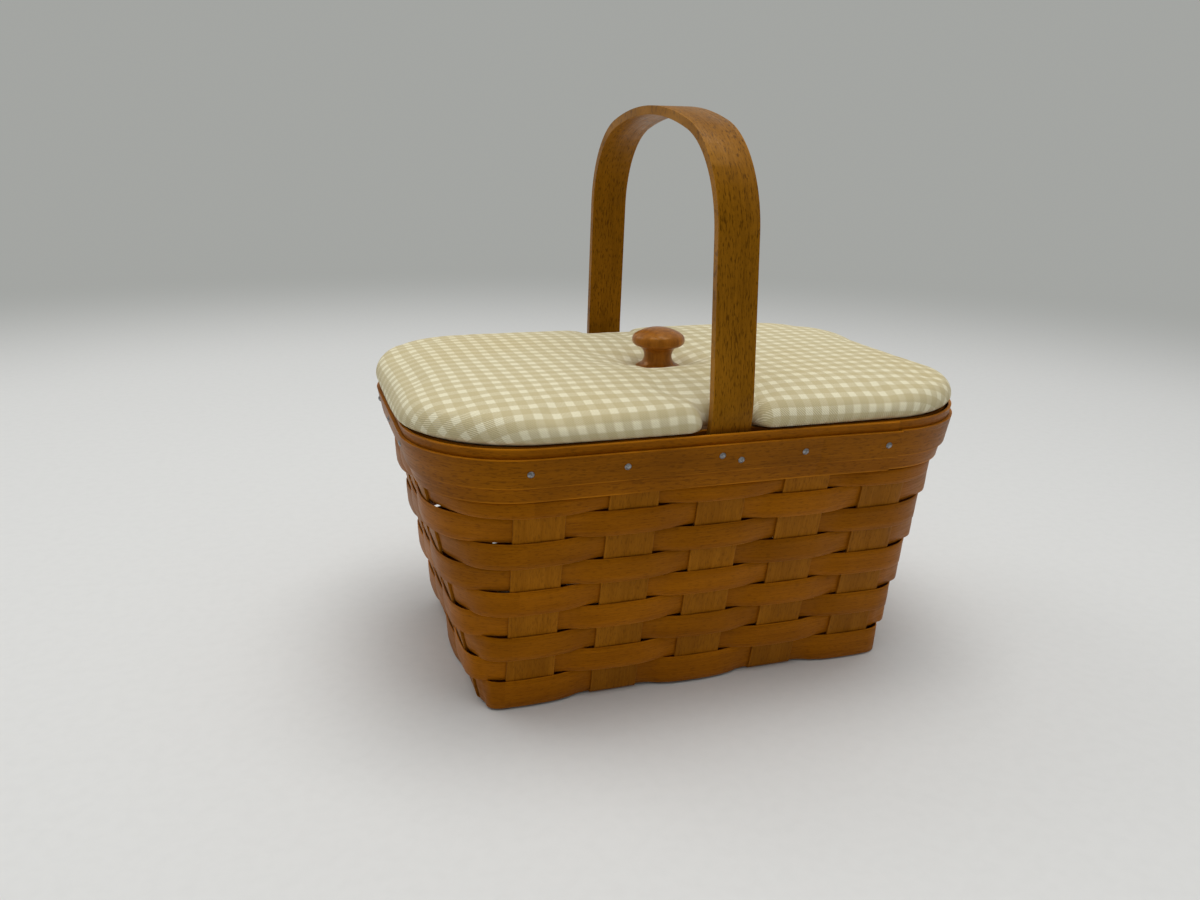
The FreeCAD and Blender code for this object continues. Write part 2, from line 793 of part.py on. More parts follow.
pin(path, edges[8], 2, TAIL_AT, TAIL_LOW)
pin(path, edges[8], 1, BEND_AT, RIM_HIGH)
for edge, formula in ((edges[2], "90 - sizes.handle_lean"), (edges[6], "sizes.handle_lean - 90")):
    tilt = path.addConstraint(Sketcher.Constraint("Angle", edge, math.radians(value(formula))))
    path.setExpression("Constraints[%d]" % tilt, f"({formula}) * 1 deg")

section = new_sketch(handle_body, "section", "XY_Plane")
section.setExpression("AttachmentOffset.Base.y", f"-{TAIL_AT}")
section.setExpression("AttachmentOffset.Base.z", TAIL_LOW)
section.AttachmentOffset = FreeCAD.Placement(
    FreeCAD.Vector(0, 0, 0), FreeCAD.Rotation(x_way, math.degrees(math.atan(wall_slope)))
)
half_wide = "sizes.handle_wide / 2"
half_thick = "sizes.handle_thick / 2"
closed_profile(
    section,
    [
        (f"-{half_wide}", f"-{half_thick}"),
        (half_wide, f"-{half_thick}"),
        (half_wide, half_thick),
        (f"-{half_wide}", half_thick),
    ],
)
bent = handle_body.newObject("PartDesign::AdditivePipe", "bent_strip")
bent.Profile = section
bent.Spine = path
doc.recompute()
leg_bores = doc.addObject("Part::Feature", "leg_bores")
leg_bores.Shape = Part.makeCompound(leg_holes)
handle = doc.addObject("Part::Cut", "handle")
handle.Base = handle_body
handle.Tool = leg_bores
keep(handle, "handle")


# The lid: board and panel below, foam above, cloth drawn round them and pulled down at the knob.
# The notch's rounds take up to this share of its depth, and this much of it is left at the crown.
NOTCH_ROUND_SHARE = 0.45
NOTCH_LEFT = 0.05


def lid_outline(inset, notch_share):
    length = value(LID_LEN) - inset
    width = value(LID_WID) - inset
    depth = (value(LID_WID) - value(NOTCH_AT)) * notch_share
    half = value(NOTCH_HALF) + inset
    limit = NOTCH_ROUND_SHARE * depth
    outer = min(max(size("notch_round") - inset, size("notch_crease")), limit)
    inner = min(size("notch_round") + inset, limit)
    side = [(-length, -width), (-half, -width), (-half, depth - width), (half, depth - width), (half, -width)]
    points = side + [(length, -width)]
    points += [(-x, -y) for x, y in side]
    points.append((-length, width))
    corner = size("lid_radius") - inset
    radii = [corner, outer, inner, inner, outer, corner]
    return points, radii + radii


def lid_form(skin):
    # The rolled edge and low crown, drawn in by the thickness of the cover.
    under = size("under_roll") - skin
    over = size("top_roll") - skin
    widest = value(LID_LOW) + size("under_roll")
    crest = value(LID_LOW) + size("lid_thick") - skin
    levels = []
    for degrees in (-90, -60, -30, 0):
        turn = math.radians(degrees)
        levels.append((skin + under * (1 - math.cos(turn)), widest + under * math.sin(turn), 1.0))
    for degrees in (30, 55, 75):
        turn = math.radians(degrees)
        levels.append((skin + over * (1 - math.cos(turn)), widest + over * math.sin(turn), 1.0))
    shoulder_in, shoulder_up, _ = levels[-1]
    run = size("crown_run")
    for share in (0.2, 0.45, 0.7, 1.0):
        inset = shoulder_in + (run - shoulder_in) * share
        rise = crest - (crest - shoulder_up) * (1 - share) ** 2
        levels.append((inset, rise, max(1 - share, NOTCH_LEFT)))
    wires = []
    for inset, z, notch_share in levels:
        points, radii = lid_outline(inset, notch_share)
        wires.append(level_wire(points, radii, z))
    return Part.makeLoft(wires, True, True).cut(dimple(skin))


# The pillow's arc stops this far, in radians, short of level.
DIMPLE_LEAN = 0.06


def dimple(skin):
    # The hollow that the knob pulls into the pad: a flat under the knob, then a round pillow.
    crest = value(LID_LOW) + size("lid_thick")
    deep = size("dimple_deep")
    run = size("dimple_run")
    flat = size("dimple_flat")
    over = size("knob_foot")
    full = (run * run + deep * deep) / (2 * deep)
    axis = flat + run
    centre = crest - full
    radius = full - skin
    bottom = crest - deep - skin
    inner = axis - math.sqrt(radius * radius - (bottom - centre) ** 2)
    outer = (axis - radius * math.sin(DIMPLE_LEAN), centre + radius * math.cos(DIMPLE_LEAN))
    bend = (math.atan2(bottom - centre, inner - axis) + math.atan2(outer[1] - centre, outer[0] - axis)) / 2
    middle = (axis + radius * math.cos(bend), centre + radius * math.sin(bend))

    def spot(p):
        return FreeCAD.Vector(p[0], 0, p[1])

    top = crest + over
    edges = [
        Part.LineSegment(spot((0, bottom)), spot((inner, bottom))).toShape(),
        Part.Arc(spot((inner, bottom)), spot(middle), spot(outer)).toShape(),
        Part.LineSegment(spot(outer), spot((axis, top))).toShape(),
        Part.LineSegment(spot((axis, top)), spot((0, top))).toShape(),
        Part.LineSegment(spot((0, top)), spot((0, bottom))).toShape(),
    ]
    face = Part.Face(Part.Wire(edges))
    return face.revolve(FreeCAD.Vector(0, 0, 0), FreeCAD.Vector(0, 0, 1), 360)


def rounded_plate(length, width, radius, low, high):
    points = [(-length, -width), (length, -width), (length, width), (-length, width)]
    wire = level_wire(points, [radius] * 4, low)
    return Part.Face(wire).extrude(FreeCAD.Vector(0, 0, high - low))


pad_gap = size("pad_gap")
board_low = value(BOARD_LOW)
foam_low = board_low + size("board_thick") + pad_gap
screw_bore = Part.makeCylinder(
    size("screw_shank") / 2 + size("screw_clear"), rim_high, FreeCAD.Vector(0, 0, value(PANEL_LOW))
)
opening = rounded_plate(
    value(PANEL_LEN) + size("weave_gap"),
    value(PANEL_WID) + size("weave_gap"),
    value(PANEL_RADIUS) + size("weave_gap"),
    value(PANEL_LOW),
    board_low,
)
below_foam = rounded_plate(
    value(LID_LEN), value(LID_WID), size("lid_radius"), value(PANEL_LOW), foam_low
)
hollow = lid_form(size("cover_thick"))
cover_shape = lid_form(0.0).cut(hollow).cut(opening).cut(screw_bore)
foam_shape = lid_form(size("cover_thick") + pad_gap).cut(below_foam).cut(screw_bore)
solid_piece("lid_cover", cover_shape)
solid_piece("lid_foam", foam_shape)

board_len = f"({LID_LEN} - sizes.board_inset)"
board_wid = f"({LID_WID} - sizes.board_inset)"
board_notch = f"({NOTCH_HALF} + sizes.board_inset)"
board_notch_at = f"({NOTCH_AT} - sizes.board_inset)"
board = new_body("lid_board", up=BOARD_LOW)
sketch = new_sketch(board, "outline", "XY_Plane")
half_outline = [
    (f"-{board_len}", f"-{board_wid}"),
    (f"-{board_notch}", f"-{board_wid}"),
    (f"-{board_notch}", f"-{board_notch_at}"),
    (board_notch, f"-{board_notch_at}"),
    (board_notch, f"-{board_wid}"),
    (board_len, f"-{board_wid}"),
]
other_half = [
    (board_len, board_wid),
    (board_notch, board_wid),
    (board_notch, board_notch_at),
    (f"-{board_notch}", board_notch_at),
    (f"-{board_notch}", board_wid),
    (f"-{board_len}", board_wid),
]
closed_profile(sketch, half_outline + other_half)
SCREW_BORE = "(sizes.screw_shank / 2 + sizes.screw_clear)"
PANEL_BORE = "(sizes.panel_screw / 2 + sizes.tack_clear)"
screw_across = f"({PANEL_LEN} - sizes.panel_screw_in)"
screw_along = f"({PANEL_WID} - sizes.panel_screw_in)"
screw_spots = [
    (f"{x_sign}{screw_across}", f"{y_sign}{screw_along}") for x_sign in ("-", "") for y_sign in ("-", "")
]
circle(sketch, "0", "0", SCREW_BORE)
for across, along in screw_spots:
    circle(sketch, across, along, PANEL_BORE)
slab = padded(board, sketch, "sizes.board_thick")
corners = [(sx * value(board_len), sy * value(board_wid)) for sx in (-1, 1) for sy in (-1, 1)]
round_upright(board, slab, "sizes.lid_radius - sizes.board_inset", corners)
keep(board, "lid_board")

panel = new_body("lid_panel", up=PANEL_LOW)
sketch = new_sketch(panel, "outline", "XY_Plane")
panel_corners = [
    (f"-{PANEL_LEN}", f"-{PANEL_WID}"),
    (PANEL_LEN, f"-{PANEL_WID}"),
    (PANEL_LEN, PANEL_WID),
    (f"-{PANEL_LEN}", PANEL_WID),
]
closed_profile(sketch, panel_corners)
circle(sketch, "0", "0", SCREW_BORE)
for across, along in screw_spots:
    circle(sketch, across, along, PANEL_BORE)
slab = padded(panel, sketch, "sizes.panel_thick")
corners = [(sx * value(PANEL_LEN), sy * value(PANEL_WID)) for sx in (-1, 1) for sy in (-1, 1)]
round_upright(panel, slab, PANEL_RADIUS, corners)
keep(panel, "lid_panel")

for number, (across, along) in enumerate(screw_spots, start=1):
    body = new_body("panel_screw_%d" % number, across, along, PANEL_LOW)
    grip = "(sizes.panel_thick + sizes.panel_screw_bite)"
    shank = "sizes.panel_screw / 2"
    turned(
        body,
        [
            ("0", "-sizes.panel_screw_head_high"),
            ("sizes.panel_screw_head / 2", "-sizes.panel_screw_head_high / 2"),
            ("sizes.panel_screw_head / 2", "0"),
            (shank, "0"),
            (shank, f"{grip} - sizes.panel_screw / 2"),
            ("0", grip),
        ],
    )
    keep(body, "panel_screw_%d" % number)

# The knob, turned from one piece, with the screw that pulls it down and the washer under the panel.
knob = new_body("knob", up=KNOB_SEAT)
base = "sizes.knob_base / 2"
neck = "sizes.knob_neck / 2"
head = "sizes.knob_head / 2"
bore_top = "(sizes.screw_bite + sizes.screw_clear)"
lip = f"({head} - sizes.knob_lip_in)"
lip_at = "(sizes.knob_head_at - sizes.knob_lip_low)"
brow = f"({head} - sizes.knob_brow_in)"
brow_at = "(sizes.knob_head_at + sizes.knob_brow_up)"


def arc_radius(inward, rise):
    # Radius of an arc that starts upright and moves in while it rises.
    return f"(({inward}) ^ 2 + ({rise}) ^ 2) / (2 * ({inward}))"


turned(
    knob,
    [
        ("0", bore_top),
        (SCREW_BORE, bore_top),
        (SCREW_BORE, "0"),
        (base, "0"),
        (base, "sizes.knob_foot"),
        (neck, "sizes.knob_neck_at"),
        (lip, lip_at),
        (head, "sizes.knob_head_at"),
        (brow, brow_at),
        ("0", "sizes.knob_high"),
    ],
    {
        4: (arc_radius(f"{base} - {neck}", "sizes.knob_neck_at - sizes.knob_foot"), 1),
        5: (arc_radius(f"{lip} - {neck}", f"{lip_at} - sizes.knob_neck_at"), 1),
        6: (arc_radius("sizes.knob_lip_in", "sizes.knob_lip_low"), -1),
        7: (arc_radius("sizes.knob_brow_in", "sizes.knob_brow_up"), -1),
        8: (arc_radius(f"sizes.knob_high - {brow_at}", brow), -1),
    },
)
keep(knob, "knob")

washer = new_body("knob_washer", up=f"{PANEL_LOW} - sizes.washer_thick")
sketch = new_sketch(washer, "outline", "XY_Plane")
circle(sketch, "0", "0", "sizes.washer_wide / 2")
circle(sketch, "0", "0", SCREW_BORE)
padded(washer, sketch, "sizes.washer_thick")
keep(washer, "knob_washer")

screw = new_body("knob_screw", up=f"{PANEL_LOW} - sizes.washer_thick")
shank = "sizes.screw_shank / 2"
screw_top = f"({KNOB_SEAT} + sizes.screw_bite - {PANEL_LOW} + sizes.washer_thick)"
turned(
    screw,
    [
        ("0", "-sizes.screw_head_high"),
        ("sizes.screw_head / 2 - sizes.screw_head_high / 2", "-sizes.screw_head_high"),
        ("sizes.screw_head / 2", "-sizes.screw_head_high / 2"),
        ("sizes.screw_head / 2", "0"),
        (shank, "0"),
        (shank, f"{screw_top} - {shank}"),
        ("0", screw_top),
    ],
)
keep(screw, "knob_screw")

doc.recompute()
for thing in doc.Objects:
    if "Invalid" in thing.State or "Error" in thing.State:
        raise RuntimeError("%s did not build: %s" % (thing.Label, thing.State))
for piece in pieces:
    if piece.Shape.isNull() or not piece.Shape.isValid() or piece.Shape.Volume <= 0:
        raise RuntimeError("%s has no sound solid" % piece.Label)

os.makedirs("parts", exist_ok=True)
for piece in pieces:
    piece.Shape.exportStep("parts/%s.step" % piece.Label)
print("%d pieces, rim %.1f mm high" % (len(pieces), rim_high))
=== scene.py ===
import math
import random

import bpy
from mathutils import Matrix, Vector


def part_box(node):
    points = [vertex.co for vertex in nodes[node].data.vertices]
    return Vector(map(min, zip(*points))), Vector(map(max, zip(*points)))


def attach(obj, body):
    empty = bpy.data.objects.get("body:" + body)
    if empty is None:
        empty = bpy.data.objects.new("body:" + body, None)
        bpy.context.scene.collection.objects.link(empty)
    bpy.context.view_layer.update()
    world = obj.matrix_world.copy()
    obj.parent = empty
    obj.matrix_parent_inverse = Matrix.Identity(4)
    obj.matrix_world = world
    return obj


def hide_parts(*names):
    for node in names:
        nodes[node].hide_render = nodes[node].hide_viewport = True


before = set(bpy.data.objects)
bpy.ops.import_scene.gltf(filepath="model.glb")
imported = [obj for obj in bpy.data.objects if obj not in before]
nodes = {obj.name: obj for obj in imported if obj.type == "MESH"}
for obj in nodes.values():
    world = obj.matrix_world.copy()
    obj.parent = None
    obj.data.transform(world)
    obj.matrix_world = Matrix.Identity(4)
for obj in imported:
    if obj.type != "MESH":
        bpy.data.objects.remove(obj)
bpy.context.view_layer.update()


# The stakes are five short and three long maple splints, 1.2 mm thick, crossed to make the floor
# and folded up to make the uprights of the wall. They are stained brown and sealed, with the
# grain running up the wall, and two narrower splints fill the gaps in the floor.

def put(tree, socket, value):
    if isinstance(value, bpy.types.NodeSocket):
        tree.links.new(value, socket)
    else:
        socket.default_value = value


def node(tree, kind, settings=None, **sockets):
    made = tree.nodes.new("ShaderNode" + kind)
    for field, value in (settings or {}).items():
        setattr(made, field, value)
    for name, value in sockets.items():
        put(tree, made.inputs[name.replace("_", " ")], value)
    return made


def reckon(tree, how, first, second=0.0):
    made = node(tree, "Math", {"operation": how})
    put(tree, made.inputs[0], first)
    put(tree, made.inputs[1], second)
    return made.outputs[0]


def spread(tree, value, low, high, out_low=0.0, out_high=1.0):
    made = node(tree, "MapRange", Value=value, From_Min=low, From_Max=high, To_Min=out_low, To_Max=out_high)
    return made.outputs["Result"]


def laid_over(tree, share, under, over, how="MIX"):
    made = node(tree, "Mix", {"data_type": "RGBA", "blend_type": how})
    put(tree, made.inputs[0], share)
    put(tree, made.inputs[6], under)
    put(tree, made.inputs[7], over)
    return made.outputs[2]


def new_finish(name):
    finish = bpy.data.materials.new(name)
    finish.use_nodes = True
    return finish, finish.node_tree, finish.node_tree.nodes["Principled BSDF"]


SEALER = (1.0, 0.5, 0.05, 1.0)


def stained_maple(name, pale, deep, across, dull, wear, flecked, strip=None):
    # Straight fibres, short dark flecks, slow changes of tone, and paler edges where hands wear it.
    # across is the axis that crosses the grain. A strip carries its own length and width instead.
    # dull is the sealer's roughness, wear how far the edges are rubbed, flecked how dark the flecks are.
    finish, tree, surface = new_finish(name)
    if strip:
        where = node(tree, "UVMap", {"uv_map": strip}).outputs[0]
        wide = node(tree, "UVMap", {"uv_map": strip + "_width"}).outputs[0]
    else:
        places = node(tree, "TexCoord")
        where = places.outputs["Object"]
        wide = places.outputs["Generated"]
    axis = "XYZ".index(across)

    def fibres(fine, stretch, detail):
        sizes = [fine * stretch] * 3
        sizes[axis] = fine
        laid = node(tree, "Mapping", Vector=where, Scale=sizes)
        grain = node(tree, "TexNoise", Vector=laid.outputs[0], Scale=1.0, Detail=detail, Roughness=0.6)
        return grain.outputs["Fac"]

    figure = fibres(95, 0.12, 3.0)
    lines = fibres(1100, 0.03, 3.0)
    flecks = fibres(1900, 0.17, 1.0)
    clouds = node(tree, "TexNoise", Vector=where, Scale=26.0, Detail=2.0).outputs["Fac"]
    tone = reckon(tree, "ADD", reckon(tree, "MULTIPLY", figure, 0.45), reckon(tree, "MULTIPLY", lines, 0.4))
    tone = reckon(tree, "ADD", tone, reckon(tree, "MULTIPLY", clouds, 0.3))
    colour = laid_over(tree, spread(tree, tone, 0.36, 0.8), (*deep, 1), (*pale, 1))
    dark = spread(tree, flecks, 0.53, 0.68, 0.0, flecked)
    colour = laid_over(tree, dark, colour, (deep[0] * 0.42, deep[1] * 0.36, deep[2] * 0.3, 1))
    edge = node(tree, "SeparateXYZ", Vector=wide).outputs[axis]
    edge = reckon(tree, "ABSOLUTE", reckon(tree, "SUBTRACT", edge, 0.5))
    rubbed = spread(tree, edge, 0.465, 0.495, 0.0, wear)
    worn = reckon(tree, "MULTIPLY", rubbed, spread(tree, clouds, 0.3, 0.6))
    colour = laid_over(tree, worn, colour, (pale[0] * 1.6, pale[1] * 1.7, pale[2] * 3.0, 1))
    lot = node(tree, "ObjectInfo").outputs["Random"]
    shade = node(tree, "HueSaturation", Color=colour, Value=spread(tree, lot, 0.0, 1.0, 0.88, 1.12))
    tree.links.new(shade.outputs[0], surface.inputs["Base Color"])
    tree.links.new(spread(tree, lines, 0.3, 0.7, dull + 0.1, dull - 0.06), surface.inputs["Roughness"])
    bump = node(tree, "Bump", Height=lines, Strength=0.35, Distance=0.00012)
    tree.links.new(bump.outputs[0], surface.inputs["Normal"])
    surface.inputs["Specular IOR Level"].default_value = 0.26
    surface.inputs["Specular Tint"].default_value = SEALER
    return finish


def finished(name, finish):
    # A piece as it was cut, with its stain and sealer.
    piece = nodes[name]
    for slot in piece.material_slots:
        slot.material = finish
    return piece


def eased(name, finish, edge):
    # The same with its sharp edges sanded off.
    piece = finished(name, finish)
    joined = piece.modifiers.new("joined faces", "WELD")
    joined.merge_threshold = 0.000005
    sanded = piece.modifiers.new("sanded edges", "BEVEL")
    sanded.width = edge
    sanded.segments = 2
    sanded.limit_method = "ANGLE"
    sanded.angle_limit = math.radians(40)
    sanded.harden_normals = True


STAKE_PALE = (0.42, 0.150, 0.006)
STAKE_DEEP = (0.215, 0.068, 0.0012)
SPLINT_EDGE = 0.00025

short_stake_wood = stained_maple("short_stake_maple", STAKE_PALE, STAKE_DEEP, "X", 0.5, 0.1, 0.4)
for number in range(1, 6):
    eased("cross_stake_%d" % number, short_stake_wood, SPLINT_EDGE)

long_stake_wood = stained_maple("long_stake_maple", STAKE_PALE, STAKE_DEEP, "Y", 0.5, 0.1, 0.4)
for number in range(1, 4):
    eased("long_stake_%d" % number, long_stake_wood, SPLINT_EDGE)
for number in range(1, 3):
    eased("base_filler_%d" % number, long_stake_wood, SPLINT_EDGE)


# The weavers are nine thin maple splints, 0.8 mm thick and about 12 mm wide, run round the wall
# outside one stake and inside the next. Each springs a little out over a stake, and no two
# rows lie quite level, so dark gaps open where a row dives behind a stake.

CORE_LONG = 0.09675
CORE_SHORT = 0.05325
FOOT_RADIUS = 0.00875
WALL_SLOPE = 0.2105
CORNER_SLOPE = 0.3
STAKE_HALF = 0.0115
LONG_SIDE_STAKES = (-0.084, -0.042, 0.0, 0.042, 0.084)
END_STAKES = (-0.0405, 0.0, 0.0405)
SIDES = (((1, 0), (0, -1)), ((0, 1), (1, 0)), ((-1, 0), (0, 1)), ((0, -1), (-1, 0)))
WEAVER_HALF_THICK = 0.0004
WEAVER_STEP = 0.0011
WEAVER_ROUND = 0.00025
WEAVER_HOLD = math.radians(26)
WEAVER_UPRIGHT = 0.7
WEAVER_BOW = 0.0011
WEAVER_BOW_REACH = 0.027
WEAVER_SLACK = 0.00022
BOTTOM_ROW_STRETCH = 0.36
WEAVER_PALE = (0.41, 0.132, 0.0025)
WEAVER_DEEP = (0.20, 0.057, 0.0005)


def ease(share):
    share = min(max(share, 0.0), 1.0)
    return share * share * (3 - 2 * share)


def side_swing(along, stakes, first):
    # How far the weaver stands from the middle of the wall: out over one stake, in behind the next.
    swing = first
    for k in range(len(stakes) - 1):
        start = stakes[k] + STAKE_HALF - 0.001
        end = stakes[k + 1] - STAKE_HALF + 0.001
        swing -= 2 * first * (-1) ** k * ease((along - start) / (end - start))
    return swing


def spring(from_stake, swing):
    # A weaver outside the wall stands clear of its stake in a low arch.
    if swing <= 0 or from_stake >= WEAVER_BOW_REACH:
        return 0.0
    share = min(swing / WEAVER_STEP, 1.0)
    return share * WEAVER_BOW * math.cos(math.pi / 2 * from_stake / WEAVER_BOW_REACH) ** 2


def weaver_stations(z, sign):
    # Points round the wall, each with its outward direction and the lean of the wall there.
    radius = FOOT_RADIUS + CORNER_SLOPE * z
    stations = []
    for side in range(4):
        way, outward = SIDES[side]
        core, depth = (CORE_LONG, CORE_SHORT) if side % 2 == 0 else (CORE_SHORT, CORE_LONG)
        stakes = LONG_SIDE_STAKES if side % 2 == 0 else END_STAKES
        first = WEAVER_STEP * (sign if side % 2 == 0 else -sign)
        next_stakes = END_STAKES if side % 2 == 0 else LONG_SIDE_STAKES
        reach = core + (WALL_SLOPE - CORNER_SLOPE) * z
        next_reach = depth + (WALL_SLOPE - CORNER_SLOPE) * z
        out = depth + FOOT_RADIUS + WALL_SLOPE * z
        count = round(2 * reach / 0.0022)
        for k in range(count):
            along = reach * (2 * k / count - 1)
            swing = side_swing(along, stakes, first)
            nearest = min(abs(along - stake) for stake in stakes)
            swing += spring(nearest, swing)
            distance = out + swing
            place = (way[0] * along + outward[0] * distance, way[1] * along + outward[1] * distance)
            stations.append((place, outward, WALL_SLOPE, swing))
        middle = (
            way[0] * reach + outward[0] * (out - radius),
            way[1] * reach + outward[1] * (out - radius),
        )
        turns = 30
        for k in range(turns):
            turn = math.pi / 2 * k / turns
            change = ease((turn - WEAVER_HOLD) / (math.pi / 2 - 2 * WEAVER_HOLD))
            swing = first * (1 - 2 * change)
            from_stake = reach - stakes[-1] + radius * turn
            to_stake = next_reach - next_stakes[-1] + radius * (math.pi / 2 - turn)
            swing += spring(from_stake if first > 0 else to_stake, swing)
            distance = radius + swing
            facing = (
                outward[0] * math.cos(turn) + way[0] * math.sin(turn),
                outward[1] * math.cos(turn) + way[1] * math.sin(turn),
            )
            lean = CORNER_SLOPE + (WALL_SLOPE - CORNER_SLOPE) * (math.cos(turn) + math.sin(turn))
            place = (middle[0] + facing[0] * distance, middle[1] + facing[1] * distance)
            stations.append((place, facing, lean, swing))
    return stations


def weaver_mesh(name, low, high, sign, chance, stretch):
    half = (high - low) / 2 + 0.0002
    level = (high + low) / 2
    stations = weaver_stations(level, sign)
    count = len(stations)
    waves = [(n, chance.uniform(0, 2 * math.pi), chance.uniform(0.4, 1.0)) for n in (2, 3, 5, 9)]
    t = WEAVER_HALF_THICK
    r = WEAVER_ROUND
    belly = 0.00012
    section = [
        (t, r - half), (t + belly * 0.75, -half / 2), (t + belly, 0.0),
        (t + belly * 0.75, half / 2), (t, half - r), (t - r, half),
        (r - t, half), (-t, half - r), (-t, 0.0),
        (-t, r - half), (r - t, -half), (t - r, -half),
    ]
    verts = []
    lengths = [0.0]
    for k, ((x, y), (out_x, out_y), lean, swing) in enumerate(stations):
        if k:
            before = stations[k - 1][0]
            lengths.append(lengths[-1] + math.hypot(x - before[0], y - before[1]))
        round_trip = 2 * math.pi * k / count
        drift = sum(size * math.sin(n * round_trip + start) for n, start, size in waves) * WEAVER_SLACK / 2
        corner = abs(out_x * out_y) * 2
        narrow = 1 - (0.03 - 0.03 * corner) - 0.006 * (1 + math.sin(4 * round_trip + waves[0][1]))
        upright = lean * (1 - WEAVER_UPRIGHT * ease((swing + 0.6 * WEAVER_STEP) / WEAVER_STEP))
        for out, up in section:
            rise = up * (narrow if up > 0 else narrow + stretch) + drift
            reach = out + upright * rise
            verts.append((x + out_x * reach, y + out_y * reach, level + rise))
    closing = math.dist(stations[-1][0], stations[0][0])
    lengths.append(lengths[-1] + closing)
    ring = len(section)
    faces = []
    strip = []
    width = []
    for k in range(count):
        following = (k + 1) % count
        for j in range(ring):
            after = (j + 1) % ring
            faces.append((k * ring + j, following * ring + j, following * ring + after, k * ring + after))
            for station, point in ((k, j), (k + 1, j), (k + 1, after), (k, after)):
                up = section[point][1]
                strip.append((lengths[station], level * 3 + up))
                width.append((0.5, 0.5 + up / (2 * half)))
    mesh = bpy.data.meshes.new(name)
    mesh.from_pydata(verts, [], faces)
    for layer, places in (("strip", strip), ("strip_width", width)):
        flat = mesh.uv_layers.new(name=layer)
        for corner, place in zip(flat.data, places):
            corner.uv = place
    mesh.polygons.foreach_set("use_smooth", [True] * len(mesh.polygons))
    mesh.update()
    return mesh


weaver_wood = stained_maple("weaver_maple", WEAVER_PALE, WEAVER_DEEP, "Y", 0.46, 0.5, 0.4, "strip")
chance = random.Random(41)
for row in range(1, 10):
    solid = "weaver_row_%d" % row
    lowest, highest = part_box(solid)
    stretch = BOTTOM_ROW_STRETCH if row == 9 else 0.0
    mesh = weaver_mesh("weaver_%d" % row, lowest[2], highest[2], 1 if row % 2 else -1, chance, stretch)
    mesh.materials.append(weaver_wood)
    weaver = bpy.data.objects.new("weaver_%d" % row, mesh)
    bpy.context.collection.objects.link(weaver)
    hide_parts(solid)
    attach(weaver, "basket")


# The handle is one maple bar, 19 mm wide and 4 mm thick, steamed and bent over the middle of
# the basket. Its legs run down inside the wall, and tacks through the trim hold them.

HANDLE_PALE = (0.37, 0.148, 0.007)
HANDLE_DEEP = (0.165, 0.060, 0.0008)

handle_wood = stained_maple("handle_maple", HANDLE_PALE, HANDLE_DEEP, "X", 0.4, 0.3, 0.75)
eased("handle", handle_wood, 0.0005)


# The rim is bound by a wide maple band inside and another outside the stakes, with a narrow trim
# band round the outer one. Each laps over itself, and its arrises are rubbed pale.

BAND_PALE = (0.37, 0.120, 0.002)
BAND_DEEP = (0.175, 0.050, 0.0004)

band_wood = stained_maple("band_maple", BAND_PALE, BAND_DEEP, "Z", 0.44, 0.75, 0.45)
for name in ("inner_band", "outer_band", "trim_band"):
    finished(name, band_wood)


# The tacks are small steel nails with low round heads, driven through the trim, the bands and the
# handle. Their zinc has gone dull and grey, darker in patches.

def dull_steel(name, colour, dull):
    finish, tree, surface = new_finish(name)
    where = node(tree, "TexCoord").outputs["Object"]
    tarnish = node(tree, "TexNoise", Vector=where, Scale=900.0, Detail=4.0, Roughness=0.65).outputs["Fac"]
    dark = (colour[0] * 0.35, colour[1] * 0.34, colour[2] * 0.33, 1)
    zinc = laid_over(tree, spread(tree, tarnish, 0.35, 0.6), dark, (*colour, 1))
    tree.links.new(zinc, surface.inputs["Base Color"])
    tree.links.new(spread(tree, tarnish, 0.3, 0.7, dull + 0.15, dull - 0.1), surface.inputs["Roughness"])
    bump = node(tree, "Bump", Height=tarnish, Strength=0.3, Distance=0.00006)
    tree.links.new(bump.outputs[0], surface.inputs["Normal"])
    surface.inputs["Metallic"].default_value = 0.9
    return finish


tack_steel = dull_steel("tack_steel", (0.36, 0.36, 0.37), 0.34)
TACKS = {"front": 6, "back": 6, "left": 3, "right": 3}
for side, count in TACKS.items():
    for number in range(1, count + 1):
        eased("tack_%s_%d" % (side, number), tack_steel, 0.00012)


# The lid's board is a thin ply sheet that carries the pad, and the smaller panel screwed under it
# drops inside the rim and keeps the lid in place. Both are pale bare birch.

def bare_ply(name, pale, deep):
    finish, tree, surface = new_finish(name)
    where = node(tree, "TexCoord").outputs["Object"]
    laid = node(tree, "Mapping", Vector=where, Scale=(9.0, 420.0, 420.0))
    grain = node(tree, "TexNoise", Vector=laid.outputs[0], Scale=1.0, Detail=5.0, Roughness=0.6).outputs["Fac"]
    veneer = laid_over(tree, spread(tree, grain, 0.3, 0.7), (*deep, 1), (*pale, 1))
    tree.links.new(veneer, surface.inputs["Base Color"])
    tree.links.new(spread(tree, grain, 0.3, 0.7, 0.7, 0.55), surface.inputs["Roughness"])
    bump = node(tree, "Bump", Height=grain, Strength=0.3, Distance=0.0001)
    tree.links.new(bump.outputs[0], surface.inputs["Normal"])
    return finish


birch = bare_ply("birch_ply", (0.62, 0.44, 0.25), (0.45, 0.29, 0.14))
for name in ("lid_board", "lid_panel"):
    eased(name, birch, 0.0004)
for number in range(1, 5):
    eased("panel_screw_%d" % number, tack_steel, 0.00015)
eased("knob_washer", tack_steel, 0.0002)
eased("knob_screw", tack_steel, 0.00015)


# The pad is foam under a cream and tan gingham, drawn tight over the board's edge and tacked under
# it. It is notched for the handle's legs and pulled down into a hollow under the knob.

